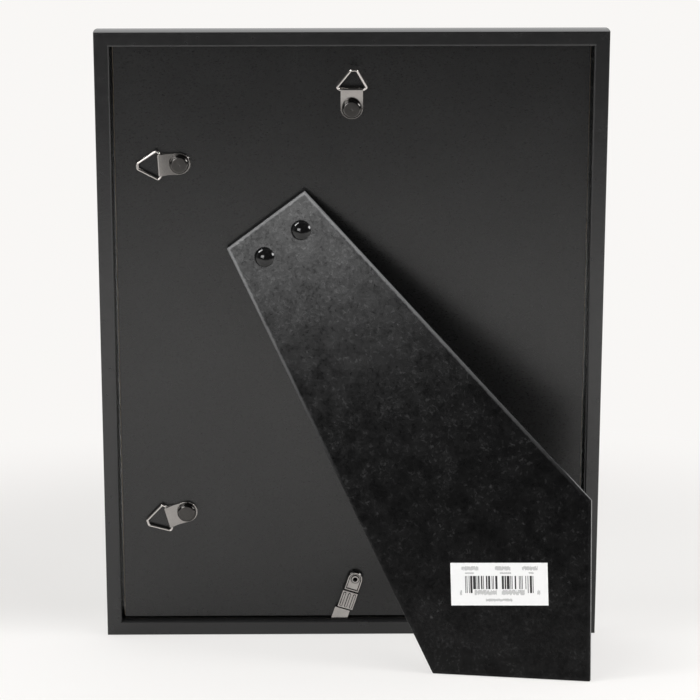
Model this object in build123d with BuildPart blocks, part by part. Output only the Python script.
from build123d import *
import math
import os

os.makedirs("parts", exist_ok=True)

# Easel back photo frame, standing on a table and leaning back on its leg, in millimetres.
# +Z is up, the picture faces -Y and the back faces +Y.
# "Across" runs to the right as seen from behind, "up" runs up the frame, "out" leaves the back.

# Moulding
insert_width = 215.9
insert_height = 279.4
insert_clearance = 1.1
rail_rear_width = 7.0
frame_depth = 12.0
side_inset = 1.15
sight_overlap = 4.6
lip_thickness = 2.4
inner_arris_radius = 1.2
outer_arris_radius = 0.4
front_arris_radius = 0.8
sight_arris_radius = 0.6
lean_angle = 8.7

# Layers held in the rabbet, front to back
glass_thickness = 2.0
glass_play = 0.5
insert_thickness = 0.3
filler_thickness = 1.5
board_thickness = 2.5
board_side_gap = 1.5
board_bottom_gap = 1.4

# Kerfs: the top one takes the board's edge, the bottom one the tip of the turn button
board_tuck = 1.8
kerf_end_play = 0.6
kerf_clearance = 0.15

# V-nails in the mitres
nail_leg = 5.0
nail_thickness = 0.6
nail_height = 7.0
nail_depth = 1.5
nail_setback = 2.4

# Rivets: clinched tails lie flush in pockets in the front of the board
rivet_clearance = 0.05
tail_height = 0.6
tail_flare = 0.7

# Hangers: a folded strap that swivels on a rivet, and a wire ring in its fold
strap_width = 10.2
strap_thickness = 0.5
strap_shoulder = 5.2
swivel_play = 0.05
fold_play = 0.06
ring_wire_radius = 0.66
ring_bar_reach = 8.8
ring_bar_half = 5.5
ring_flare_height = 1.1
ring_half_width = 6.8
ring_height = 10.2
ring_tip_width = 2.6
ring_bend_radius = 0.8
top_ring_lift = 16.0
top_ring_lean = 0.9
hanger_rivet_radius = 1.6
hanger_head_radius = 4.4
hanger_head_height = 2.4
hanger_head_shoulder = 1.4
hanger_dimple_radius = 0.7
hanger_dimple_depth = 0.2
top_hanger_drop = 36.1
upper_hanger_drop = 62.1
upper_hanger_inset = 37.6
upper_hanger_turn = 183.0
lower_hanger_rise = 62.4
lower_hanger_inset = 38.5
lower_hanger_turn = 196.0
top_hanger_turn = 90.0

# Turn button: a stepped plate on an eyelet, its tongue in the kerf of the bottom rail
button_rise = 28.1
button_offset = 1.8
button_turn = 252.3
button_width = 7.4
button_thickness = 0.7
button_first_step = 6.4
button_second_step = 16.0
button_length = 24.0
button_step_run = 1.0
button_first_drop = 0.6
button_second_drop = 0.9
button_lift = 0.1
tongue_shift = 0.9
tongue_corner = 0.8
rib_length = 7.6
rib_width = 1.4
rib_height = 0.35
rib_spacing = 2.4
rib_count = 3
rim_width = 1.2
rim_height = 0.45
relief_taper = 40.0
eyelet_bore_radius = 0.95
eyelet_radius = 1.4
eyelet_flange_radius = 2.0
eyelet_flange_height = 0.6

# Easel hinge: both leaves run down from the pin, under the top of the leg
hinge_across = -33.8
hinge_up = 200.0
hinge_tilt = 37.6
open_angle = 18.5
pin_radius = 0.75
pin_play = 0.05
leaf_thickness = 0.6
leaf_width = 34.0
leg_leaf_length = 12.0
board_leaf_length = 22.0
middle_knuckle = 11.0
knuckle_gap = 0.2
notch_play = 0.3
heel_gap = 0.08

# Easel leg
leg_top_width = 45.4
leg_left_splay = 9.9
leg_right_splay = 7.2
leg_right_edge = 191.9
leg_end_skew = 1.0
leg_thickness = 2.8
cover_thickness = 0.35
leg_corner_radius = 0.5
leg_edge_radius = 0.6
leg_rivet_drop = 13.5
leg_rivet_spacing = 21.1
leg_rivet_radius = 1.5
leg_head_radius = 4.6
leg_head_height = 2.5
leg_head_rim = 0.3
board_rivet_drop = 16.5
board_rivet_spacing = 16.0
board_rivet_radius = 1.3
board_head_radius = 2.4
board_head_height = 0.6
board_head_rim = 0.25

# Paper label near the foot of the leg
label_width = 44.7
label_height = 19.6
label_thickness = 0.12
label_inset = 41.8
label_rise = 42.8
label_skew = 2.7

# Moulding sizes that follow
opening_width = insert_width + 2 * insert_clearance
opening_height = insert_height + 2 * insert_clearance
outer_width = opening_width + 2 * rail_rear_width
outer_height = opening_height + 2 * rail_rear_width
front_width = rail_rear_width + insert_clearance + sight_overlap
middle_up = outer_height / 2

# Heights out of the rear face of the moulding, all negative
lip_out = lip_thickness - frame_depth
insert_out = lip_out + glass_thickness
filler_out = insert_out + insert_thickness
board_front_out = filler_out + filler_thickness
board_out = board_front_out + board_thickness

# The frame stands on the rounded rear arris of its bottom rail
lean = math.radians(lean_angle)
arris_lift = outer_arris_radius * (math.cos(lean) + math.sin(lean) - 1)

# Hinge and heel: the leg stops opening when its top edge meets the board
opening = math.radians(open_angle)
knuckle_radius = pin_radius + pin_play + leaf_thickness
pivot_out = board_out + knuckle_radius
leg_out = knuckle_radius + leg_thickness
leg_heel = (knuckle_radius * (1 + math.cos(opening)) - heel_gap) / math.sin(opening)


def frame_plane(depth_place):
    """The rear face of the moulding: x across, y up and z out, from the middle of the bottom edge."""
    out = (0, math.cos(lean), -math.sin(lean))
    return Plane(origin=(0, depth_place, -arris_lift), x_dir=(-1, 0, 0), z_dir=out)


def place_on(plane, across, up, out, turn=0):
    """A plane parallel to the given one, moved, and turned anticlockwise as seen from its front."""
    return Plane(plane.location * Location((across, up, out), (0, 0, turn)))


def edge_on(plane):
    """A plane that holds the given plane's x and z directions as its x and y."""
    return Plane(origin=plane.origin, x_dir=plane.x_dir, z_dir=-plane.y_dir)


def hinge_planes(back):
    """Planes at the middle of the pin, x along it: one parallel to the board, one to the open leg."""
    folded = place_on(back, hinge_across, hinge_up, pivot_out, hinge_tilt)
    return folded, Plane(folded.location * Location((0, 0, 0), (-open_angle, 0, 0)))


def leg_outline(leg):
    """Corners of the leg on its own plane, clockwise from the top left. The foot edge lies on the table."""
    left_splay = math.radians(leg_left_splay)
    right_splay = math.radians(leg_right_splay)
    half_top = leg_top_width / 2
    inner_face = leg.from_local_coords((0, 0, knuckle_radius)).Z
    fall_across, fall_up = leg.x_dir.Z, leg.y_dir.Z
    top_left = Vector(-half_top, leg_heel)
    top_right = Vector(half_top, leg_heel)
    right = top_right + Vector(math.sin(right_splay), -math.cos(right_splay)) * leg_right_edge
    # The left edge runs down to the table
    start_height = inner_face + top_left.X * fall_across + top_left.Y * fall_up
    left_edge = start_height / (math.sin(left_splay) * fall_across + math.cos(left_splay) * fall_up)
    foot_left = top_left - Vector(math.sin(left_splay), math.cos(left_splay)) * left_edge
    # The right end of the foot lies nearly square below the right corner
    steepest = Vector(fall_across, fall_up)
    rising = steepest.rotate(Axis.Z, leg_end_skew)
    right_height = inner_face + right.X * fall_across + right.Y * fall_up
    foot_right = right - rising * (right_height / rising.dot(steepest))
    return top_left, top_right, right, foot_right, foot_left


# The part is centred over its footprint, from the front of the bottom rail to the foot of the leg
trial_back = frame_plane(0)
trial_leg = hinge_planes(trial_back)[1]
trial_foot = leg_outline(trial_leg)[3]
rear_reach = trial_leg.from_local_coords((trial_foot.X, trial_foot.Y, leg_out)).Y
front_reach = trial_back.from_local_coords((0, side_inset + front_arris_radius, -frame_depth)).Y
back = frame_plane(-(rear_reach + front_reach) / 2)
folded_plane, leg_plane = hinge_planes(back)
leg_corners = leg_outline(leg_plane)

# Where things sit on the back
button_plane = place_on(back, button_offset, button_rise, board_out, button_turn)
side_edge = -outer_width / 2
hanger_planes = {
    "top": place_on(back, 0, outer_height - top_hanger_drop, board_out, top_hanger_turn),
    "upper": place_on(
        back, side_edge + upper_hanger_inset, outer_height - upper_hanger_drop, board_out, upper_hanger_turn
    ),
    "lower": place_on(back, side_edge + lower_hanger_inset, lower_hanger_rise, board_out, lower_hanger_turn),
}
board_rivet_planes = [
    place_on(folded_plane, side * board_rivet_spacing / 2, -board_rivet_drop, leaf_thickness - knuckle_radius)
    for side in (-1, 1)
]
leg_rivet_planes = [
    place_on(leg_plane, side * leg_rivet_spacing / 2, leg_heel - leg_rivet_drop, leg_out)
    for side in (-1, 1)
]


def save(builder, name):
    builder.part.label = name
    export_step(builder.part, f"parts/{name}.step")


# Corner V-nails, one in each mitre, hidden below the rear face
with BuildPart() as corner_nails:
    with BuildSketch(place_on(back, 0, middle_up, -nail_depth)):
        for side in (-1, 1):
            for end in (-1, 1):
                corner_across = side * (outer_width / 2 - nail_setback)
                corner_up = end * (outer_height / 2 - nail_setback)
                half_leg = (nail_leg - nail_thickness) / 2
                with Locations((corner_across - side * half_leg, corner_up)):
                    Rectangle(nail_leg, nail_thickness)
                with Locations((corner_across, corner_up - end * half_leg)):
                    Rectangle(nail_thickness, nail_leg)
    extrude(amount=-nail_height)
save(corner_nails, "corner_nails")

# Kerfs of the top and bottom rails: depth, and lower and upper wall
tongue_low = board_out + button_lift
tongue_high = tongue_low + button_thickness
tongue_reach = math.hypot(button_length, button_width / 2 + tongue_shift)
button_kerf_depth = tongue_reach - (button_rise - rail_rear_width) + kerf_end_play
kerfs = {
    "top_rail": (board_tuck + kerf_end_play, board_front_out - kerf_clearance, board_out + kerf_clearance),
    "bottom_rail": (button_kerf_depth, tongue_low - kerf_clearance, tongue_high + kerf_clearance),
}
rail_sides = {
    "bottom_rail": ((0, 0), 90, outer_width),
    "top_rail": ((0, outer_height), 270, outer_width),
    "left_rail": ((-outer_width / 2, middle_up), 0, outer_height),
    "right_rail": ((outer_width / 2, middle_up), 180, outer_height),
}

# Four mitred rails of one moulding: convex outer side, front lip, rabbet, rounded rear arris
for rail_name, (middle, inward_turn, rail_length) in rail_sides.items():
    section_plane = edge_on(place_on(back, *middle, 0, inward_turn))
    with BuildPart() as rail:
        with BuildSketch(section_plane) as section:
            with BuildLine():
                outer_side = TangentArc((0, 0), (side_inset, -frame_depth), tangent=(0, -1))
                Polyline(
                    outer_side @ 1,
                    (front_width, -frame_depth),
                    (front_width, lip_out),
                    (rail_rear_width, lip_out),
                    (rail_rear_width, 0),
                    (0, 0),
                )
            make_face()
            fillet(section.vertices().sort_by_distance((0, 0))[0], outer_arris_radius)
            fillet(section.vertices().sort_by_distance((rail_rear_width, 0))[0], inner_arris_radius)
            fillet(section.vertices().sort_by_distance((side_inset, -frame_depth))[0], front_arris_radius)
            fillet(section.vertices().sort_by_distance((front_width, -frame_depth))[0], sight_arris_radius)
        extrude(amount=rail_length / 2, both=True)
        if rail_name in kerfs:
            kerf_depth, kerf_low, kerf_high = kerfs[rail_name]
            with BuildSketch(section_plane):
                with Locations((rail_rear_width - kerf_depth / 2, (kerf_low + kerf_high) / 2)):
                    Rectangle(kerf_depth, kerf_high - kerf_low)
            extrude(amount=rail_length / 2, both=True, mode=Mode.SUBTRACT)
        for end in (-1, 1):
            mitre_origin = section_plane.from_local_coords((0, 0, end * rail_length / 2))
            mitre = Plane(origin=mitre_origin, z_dir=section_plane.x_dir + section_plane.z_dir * end)
            split(bisect_by=mitre, keep=Keep.BOTTOM)
        add(corner_nails.part, mode=Mode.SUBTRACT)
    save(rail, rail_name)

# Glass, picture and filler, face to face in the rabbet
layers = {
    "glass_pane": (lip_out, glass_thickness, opening_width - 2 * glass_play, opening_height - 2 * glass_play),
    "photo_insert": (insert_out, insert_thickness, insert_width, insert_height),
    "filler_board": (filler_out, filler_thickness, insert_width, insert_height),
}
for layer_name, (layer_out, layer_thickness, layer_width, layer_height) in layers.items():
    with BuildPart() as layer:
        with BuildSketch(place_on(back, 0, middle_up, layer_out)):
            Rectangle(layer_width, layer_height)
        extrude(amount=layer_thickness)
    save(layer, layer_name)

# Backing board: its top edge is tucked into the kerf, and pockets in its front take the clinched tails
board_bottom = rail_rear_width + board_bottom_gap
board_top = outer_height - rail_rear_width + board_tuck
rivet_places = [(plane, hanger_rivet_radius) for plane in hanger_planes.values()]
rivet_places += [(plane, board_rivet_radius) for plane in board_rivet_planes]
rivet_places += [(button_plane, eyelet_radius)]
with BuildPart() as backing_board:
    with BuildSketch(place_on(back, 0, (board_bottom + board_top) / 2, board_front_out)):
        Rectangle(opening_width - 2 * board_side_gap, board_top - board_bottom)
    extrude(amount=board_thickness)
    for plane, shank_radius in rivet_places:
        hole = back.to_local_coords(plane.origin)
        with BuildSketch(place_on(back, hole.X, hole.Y, board_front_out)):
            Circle(shank_radius + rivet_clearance)
        extrude(amount=board_thickness, mode=Mode.SUBTRACT)
        with BuildSketch(place_on(back, hole.X, hole.Y, board_front_out)):
            Circle(shank_radius + tail_flare + rivet_clearance)
        extrude(amount=tail_height, mode=Mode.SUBTRACT)
save(backing_board, "backing_board")

# Hangers: strap folded round the bar of the ring, both layers pinned by the rivet
strap_top = swivel_play + 2 * strap_thickness
fold_radius = ring_wire_radius + fold_play + strap_thickness
fold_top = swivel_play + 2 * fold_radius
bar_out = swivel_play + fold_radius
ring_poses = {"top": (top_ring_lift, top_ring_lean), "upper": (0, 0), "lower": (0, 0)}
for hanger_name, hanger_plane in hanger_planes.items():
    with BuildPart() as strap:
        with BuildSketch(edge_on(hanger_plane)):
            with BuildLine():
                fold = TangentArc((ring_bar_reach, swivel_play), (ring_bar_reach, fold_top), tangent=(1, 0))
                Polyline(
                    fold @ 1,
                    (strap_shoulder, strap_top),
                    (-strap_width / 2, strap_top),
                    (-strap_width / 2, swivel_play),
                    fold @ 0,
                )
            make_face()
            with Locations((ring_bar_reach, bar_out)):
                Circle(fold_radius - strap_thickness, mode=Mode.SUBTRACT)
            with BuildLine():
                Polyline(
                    (ring_bar_reach, swivel_play + strap_thickness),
                    (ring_bar_reach, fold_top - strap_thickness),
                    (strap_shoulder, swivel_play + strap_thickness),
                    close=True,
                )
            make_face(mode=Mode.SUBTRACT)
        extrude(amount=strap_width / 2, both=True)
        strap_reach = ring_bar_reach + fold_radius
        with BuildSketch(hanger_plane):
            Circle(strap_width / 2)
            with Locations((strap_reach / 2, 0)):
                Rectangle(strap_reach, strap_width)
        extrude(amount=fold_top, mode=Mode.INTERSECT)
        with BuildSketch(hanger_plane):
            Circle(hanger_rivet_radius + swivel_play)
        extrude(amount=fold_top, mode=Mode.SUBTRACT)
    save(strap, f"{hanger_name}_hanger_strap")

    ring_lift, ring_lean = ring_poses[hanger_name]
    bar_plane = place_on(hanger_plane, ring_bar_reach, 0, bar_out)
    ring_plane = Plane(bar_plane.location * Location((0, 0, 0), (0, -ring_lift, 0)))
    with BuildPart() as ring:
        with BuildLine(ring_plane) as ring_path:
            FilletPolyline(
                (0, -ring_bar_half),
                (ring_flare_height, -ring_half_width),
                (ring_height, -ring_lean - ring_tip_width / 2),
                (ring_height, -ring_lean + ring_tip_width / 2),
                (ring_flare_height, ring_half_width),
                (0, ring_bar_half),
                radius=ring_bend_radius,
                close=True,
            )
        with BuildSketch(Plane(origin=ring_path.line @ 0, z_dir=ring_path.line % 0)):
            Circle(ring_wire_radius)
        sweep(path=ring_path.line)
    save(ring, f"{hanger_name}_hanger_ring")

    head_out = strap_top + swivel_play
    head_top = head_out + hanger_head_height
    with BuildPart() as rivet:
        with BuildSketch(edge_on(hanger_plane)):
            with BuildLine():
                dimple = Line((0, head_top - hanger_dimple_depth), (hanger_dimple_radius, head_top))
                crown = Line(dimple @ 1, (hanger_head_radius - hanger_head_shoulder, head_top))
                shoulder = TangentArc(
                    crown @ 1, (hanger_head_radius, head_top - hanger_head_shoulder), tangent=(1, 0)
                )
                Polyline(
                    shoulder @ 1,
                    (hanger_head_radius, head_out),
                    (hanger_rivet_radius, head_out),
                    (hanger_rivet_radius, tail_height - board_thickness),
                    (hanger_rivet_radius + tail_flare, tail_height - board_thickness),
                    (hanger_rivet_radius + tail_flare, -board_thickness),
                    (0, -board_thickness),
                    dimple @ 0,
                )
            make_face()
        revolve(axis=Axis(hanger_plane.origin, hanger_plane.z_dir))
    save(rivet, f"{hanger_name}_hanger_rivet")

# Turn button: three levels, highest at the eyelet, with grip ribs on the middle one
tongue_top = button_lift + button_thickness
middle_top = tongue_top + button_second_drop
plate_top = middle_top + button_first_drop
button_end = -button_width / 2
level_points = [
    (button_end, plate_top),
    (button_first_step, plate_top),
    (button_first_step + button_step_run, middle_top),
    (button_second_step, middle_top),
    (button_second_step + button_step_run, tongue_top),
    (button_length, tongue_top),
]
under_points = [(along, out - button_thickness) for along, out in reversed(level_points)]
with BuildPart() as turn_button:
    with BuildSketch(edge_on(button_plane)):
        with BuildLine():
            Polyline(*level_points, *under_points, close=True)
        make_face()
    extrude(amount=button_width, both=True)
    # A collar pressed down round the eyelet carries the plate on the board
    with BuildSketch(place_on(button_plane, 0, 0, button_lift)):
        Circle(eyelet_flange_radius)
    extrude(amount=plate_top - button_lift)
    rib_middle = (button_first_step + button_step_run + button_second_step) / 2
    with BuildSketch(place_on(button_plane, rib_middle, 0, middle_top)):
        with GridLocations(0, rib_spacing, 1, rib_count):
            SlotOverall(rib_length, rib_width)
    extrude(amount=rib_height, taper=relief_taper)
    # A raised rim round the end that carries the eyelet
    with BuildSketch(place_on(button_plane, 0, 0, plate_top)):
        Circle(button_width / 2)
        with Locations((button_first_step / 2, 0)):
            Rectangle(button_first_step, button_width)
        offset(amount=-rim_width, mode=Mode.SUBTRACT)
    extrude(amount=rim_height, taper=relief_taper)
    # The tongue stands a little to one side
    with BuildSketch(button_plane) as outline:
        with Locations(((button_second_step + button_length) / 2, -tongue_shift)):
            Rectangle(button_length - button_second_step, button_width)
        chamfer(outline.vertices().group_by(Axis.X)[-1], tongue_corner)
        with Locations((button_second_step / 2, 0)):
            Rectangle(button_second_step, button_width)
        Circle(button_width / 2)
    button_top = plate_top + rib_height + rim_height
    extrude(amount=button_top, mode=Mode.INTERSECT)
    with BuildSketch(button_plane):
        Circle(eyelet_radius + swivel_play)
    extrude(amount=button_top, mode=Mode.SUBTRACT)
save(turn_button, "turn_button")

flange_out = plate_top + swivel_play
with BuildPart() as turn_button_eyelet:
    with BuildSketch(edge_on(button_plane)) as eyelet_section:
        with BuildLine():
            Polyline(
                (eyelet_bore_radius, -board_thickness),
                (eyelet_radius + tail_flare, -board_thickness),
                (eyelet_radius + tail_flare, tail_height - board_thickness),
                (eyelet_radius, tail_height - board_thickness),
                (eyelet_radius, flange_out),
                (eyelet_flange_radius, flange_out),
                (eyelet_flange_radius, flange_out + eyelet_flange_height),
                (eyelet_bore_radius, flange_out + eyelet_flange_height),
                close=True,
            )
        make_face()
        rim = eyelet_section.vertices().group_by(Axis.Y)[-1]
        fillet(rim, eyelet_flange_height / 2)
    revolve(axis=Axis(button_plane.origin, button_plane.z_dir))
save(turn_button_eyelet, "turn_button_eyelet")

# Easel hinge: the leg leaf has the middle knuckle, the board leaf the two outer ones
outer_knuckle = (leaf_width - middle_knuckle) / 2 - knuckle_gap
outer_knuckle_middle = (leaf_width - outer_knuckle) / 2
leaves = {
    "leg_hinge_leaf": (leg_plane, 1, leg_leaf_length, [(0, middle_knuckle)], leg_rivet_radius),
    "board_hinge_leaf": (
        folded_plane,
        -1,
        board_leaf_length,
        [(-outer_knuckle_middle, outer_knuckle), (outer_knuckle_middle, outer_knuckle)],
        board_rivet_radius,
    ),
}
leaf_rivets = {"leg_hinge_leaf": leg_rivet_planes, "board_hinge_leaf": board_rivet_planes}
notches = {
    "leg_hinge_leaf": [(-outer_knuckle_middle, outer_knuckle), (outer_knuckle_middle, outer_knuckle)],
    "board_hinge_leaf": [(0, middle_knuckle)],
}
for leaf_name, (leaf_plane, side, leaf_length, knuckles, shank_radius) in leaves.items():
    leaf_low = min(side * knuckle_radius, side * (knuckle_radius - leaf_thickness))
    pin_plane = Plane(origin=leaf_plane.origin, x_dir=leaf_plane.y_dir, z_dir=leaf_plane.x_dir)
    with BuildPart() as leaf:
        with BuildSketch(place_on(leaf_plane, 0, -leaf_length / 2, leaf_low)):
            Rectangle(leaf_width, leaf_length)
        extrude(amount=leaf_thickness)
        notch_depth = knuckle_radius + notch_play
        with BuildSketch(place_on(leaf_plane, 0, 0, leaf_low)):
            for middle, length in notches[leaf_name]:
                with Locations((middle, 0)):
                    Rectangle(length + 2 * knuckle_gap, 2 * notch_depth)
        extrude(amount=leaf_thickness, mode=Mode.SUBTRACT)
        for middle, length in knuckles:
            with BuildSketch(pin_plane.offset(middle)):
                Circle(knuckle_radius)
            extrude(amount=length / 2, both=True)
        with BuildSketch(pin_plane):
            Circle(pin_radius + pin_play)
        extrude(amount=leaf_width, both=True, mode=Mode.SUBTRACT)
        for plane in leaf_rivets[leaf_name]:
            hole = leaf_plane.to_local_coords(plane.origin)
            with BuildSketch(place_on(leaf_plane, hole.X, hole.Y, leaf_low)):
                Circle(shank_radius + rivet_clearance)
            extrude(amount=leaf_thickness, mode=Mode.SUBTRACT)
    save(leaf, leaf_name)

with BuildPart() as hinge_pin:
    with BuildSketch(Plane(origin=folded_plane.origin, x_dir=folded_plane.y_dir, z_dir=folded_plane.x_dir)):
        Circle(pin_radius)
    extrude(amount=leaf_width / 2, both=True)
save(hinge_pin, "hinge_pin")

# Easel leg: a stiff core, and a leatherette cover over its outer face and edges
core_thickness = leg_thickness - cover_thickness
with BuildPart() as easel_leg:
    with BuildSketch(leg_plane.offset(knuckle_radius)) as leg_face:
        with BuildLine():
            Polyline(*leg_corners, close=True)
        make_face()
        fillet(leg_face.vertices(), leg_corner_radius)
        offset(amount=-cover_thickness, mode=Mode.REPLACE)
    extrude(amount=core_thickness)
    for plane in leg_rivet_planes:
        with BuildSketch(plane):
            Circle(leg_rivet_radius + rivet_clearance)
        extrude(amount=-leg_thickness, mode=Mode.SUBTRACT)
save(easel_leg, "easel_leg")

with BuildPart() as leg_cover:
    with BuildSketch(leg_plane.offset(knuckle_radius)) as cover_face:
        with BuildLine():
            Polyline(*leg_corners, close=True)
        make_face()
        fillet(cover_face.vertices(), leg_corner_radius)
    extrude(amount=leg_thickness)
    outer_face = leg_cover.faces().sort_by(Axis(leg_plane.origin, leg_plane.z_dir))[-1]
    fillet(outer_face.edges(), leg_edge_radius)
    with BuildSketch(leg_plane.offset(knuckle_radius)) as core_face:
        add(cover_face.sketch_local)
        offset(amount=-cover_thickness, mode=Mode.REPLACE)
    extrude(amount=core_thickness, mode=Mode.SUBTRACT)
    for plane in leg_rivet_planes:
        with BuildSketch(plane):
            Circle(leg_rivet_radius + rivet_clearance)
        extrude(amount=-leg_thickness, mode=Mode.SUBTRACT)
save(leg_cover, "leg_cover")

# Rivets of the hinge: glossy domes on the leg, low heads on the board leaf
rivet_groups = {
    "leg_rivets": (
        leg_rivet_planes,
        (leg_head_radius, leg_head_height, leg_head_rim),
        leg_rivet_radius,
        -leg_thickness - leaf_thickness,
        -leg_thickness - leaf_thickness - tail_height,
    ),
    "board_rivets": (
        board_rivet_planes,
        (board_head_radius, board_head_height, board_head_rim),
        board_rivet_radius,
        tail_height - leaf_thickness - board_thickness,
        -leaf_thickness - board_thickness,
    ),
}
for group_name, (planes, head, shank_radius, tail_start, tail_end) in rivet_groups.items():
    head_radius, head_height, head_rim = head
    with BuildPart() as rivets:
        for plane in planes:
            with BuildSketch(edge_on(plane)):
                with BuildLine():
                    dome = TangentArc((0, head_height), (head_radius, head_rim), tangent=(1, 0))
                    Polyline(
                        dome @ 1,
                        (head_radius, 0),
                        (shank_radius, 0),
                        (shank_radius, tail_start),
                        (shank_radius + tail_flare, tail_start),
                        (shank_radius + tail_flare, tail_end),
                        (0, tail_end),
                        dome @ 0,
                    )
                make_face()
            revolve(axis=Axis(plane.origin, plane.z_dir))
    save(rivets, group_name)

# Label: a paper sticker, level with the foot of the leg
foot_right, foot_left = leg_corners[3], leg_corners[4]
along_foot = (foot_right - foot_left).normalized()
up_leg = (leg_corners[2] - foot_right).normalized()
label_middle = foot_right - along_foot * label_inset + up_leg * label_rise
label_turn = math.degrees(math.atan2(along_foot.Y, along_foot.X)) + label_skew
with BuildPart() as label:
    with BuildSketch(place_on(leg_plane, label_middle.X, label_middle.Y, leg_out, label_turn)):
        Rectangle(label_width, label_height)
    extrude(amount=label_thickness)
save(label, "label")

# Joint axes, in millimetres
print("easel_fold", leg_plane.origin, leg_plane.x_dir)
print("turn_button", button_plane.origin, button_plane.z_dir)
for hanger_name, hanger_plane in hanger_planes.items():
    print(f"{hanger_name}_swivel", hanger_plane.origin, hanger_plane.z_dir)
    bar_middle = hanger_plane.from_local_coords((ring_bar_reach, 0, bar_out))
    print(f"{hanger_name}_ring", bar_middle, hanger_plane.y_dir)
print("back", back.origin, back.x_dir, back.y_dir, back.z_dir)
